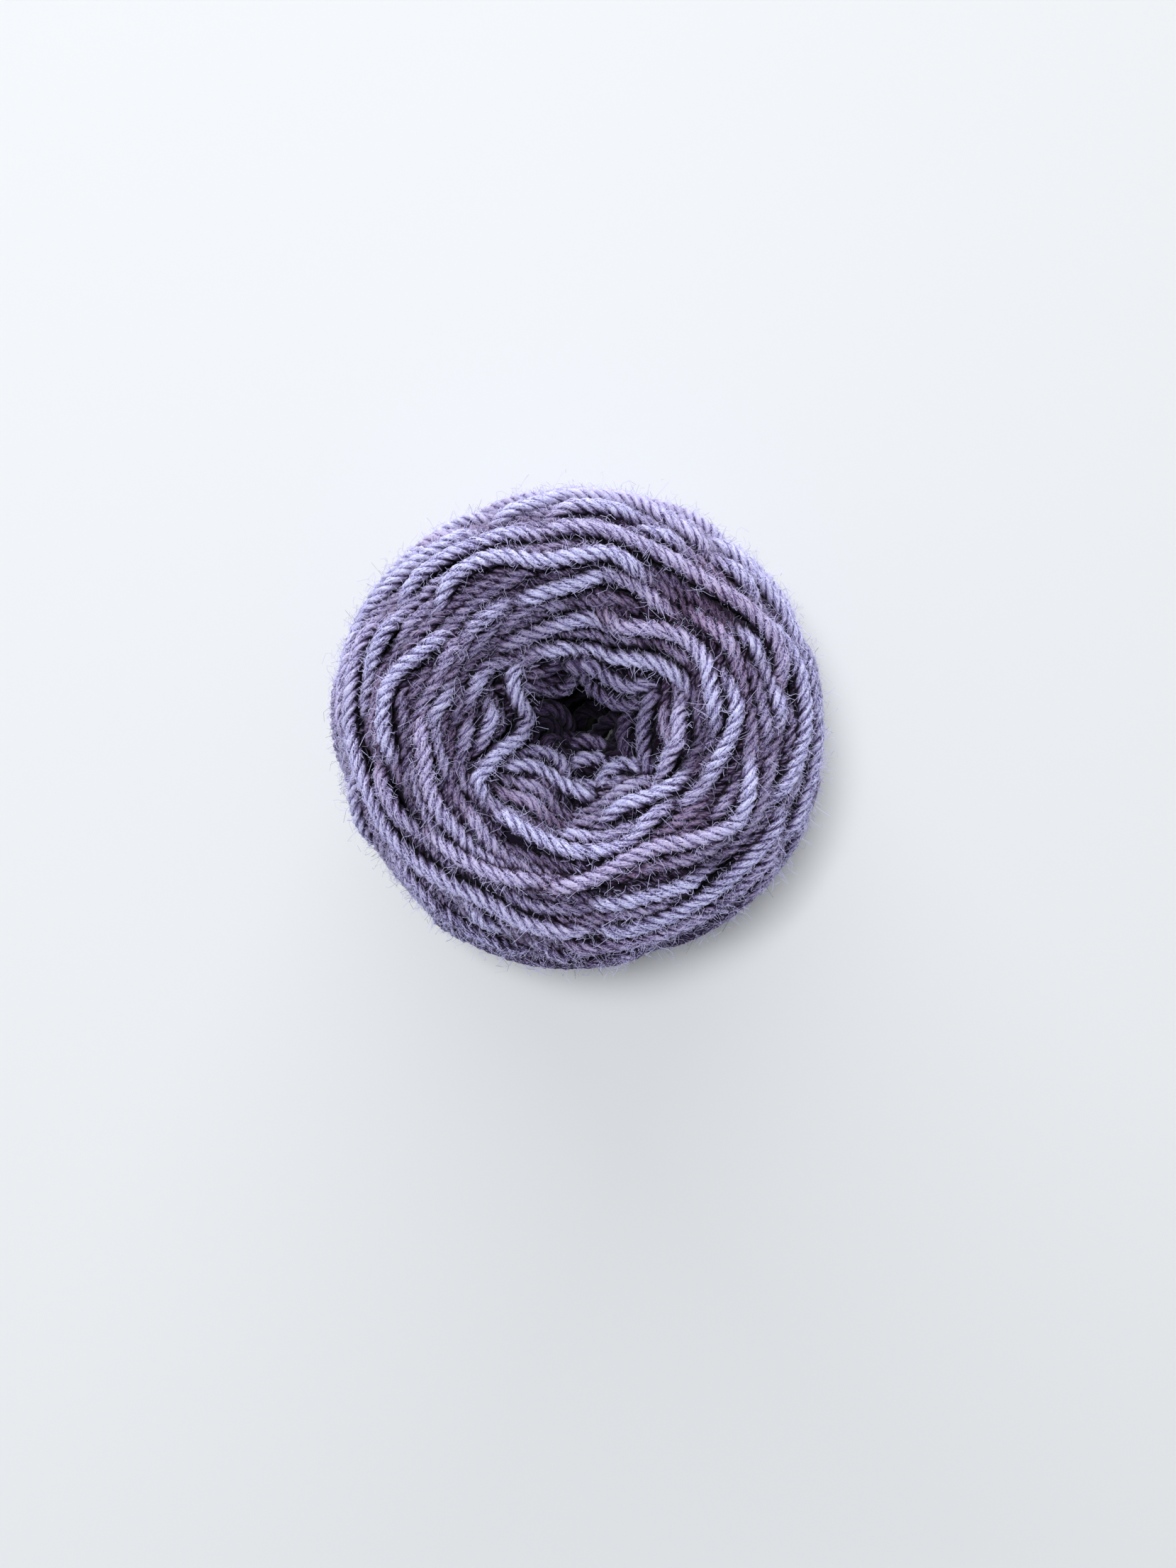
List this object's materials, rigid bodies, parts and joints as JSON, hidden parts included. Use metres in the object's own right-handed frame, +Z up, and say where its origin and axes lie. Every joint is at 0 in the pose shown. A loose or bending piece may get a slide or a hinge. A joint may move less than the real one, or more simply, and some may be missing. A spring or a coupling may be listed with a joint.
{
  "type": "yarn cake",
  "caption": "Cross-wound cake of plied wool yarn with rounded shoulders, a flat underside and a centre-pull hole.",
  "frame": {"origin": "on the surface the cake stands on, under the middle of its box", "axes": "+Z up along the centre-pull hole, +X across the cake's slightly wider diameter, +Y towards the top of the picture"},
  "size_m": [0.088, 0.085, 0.06],
  "materials": {
    "wool": "matt, softly hairy plied wool"
  },
  "bodies": {
    "root": {"wound_yarn": "wool"}
  },
  "joints": []
}
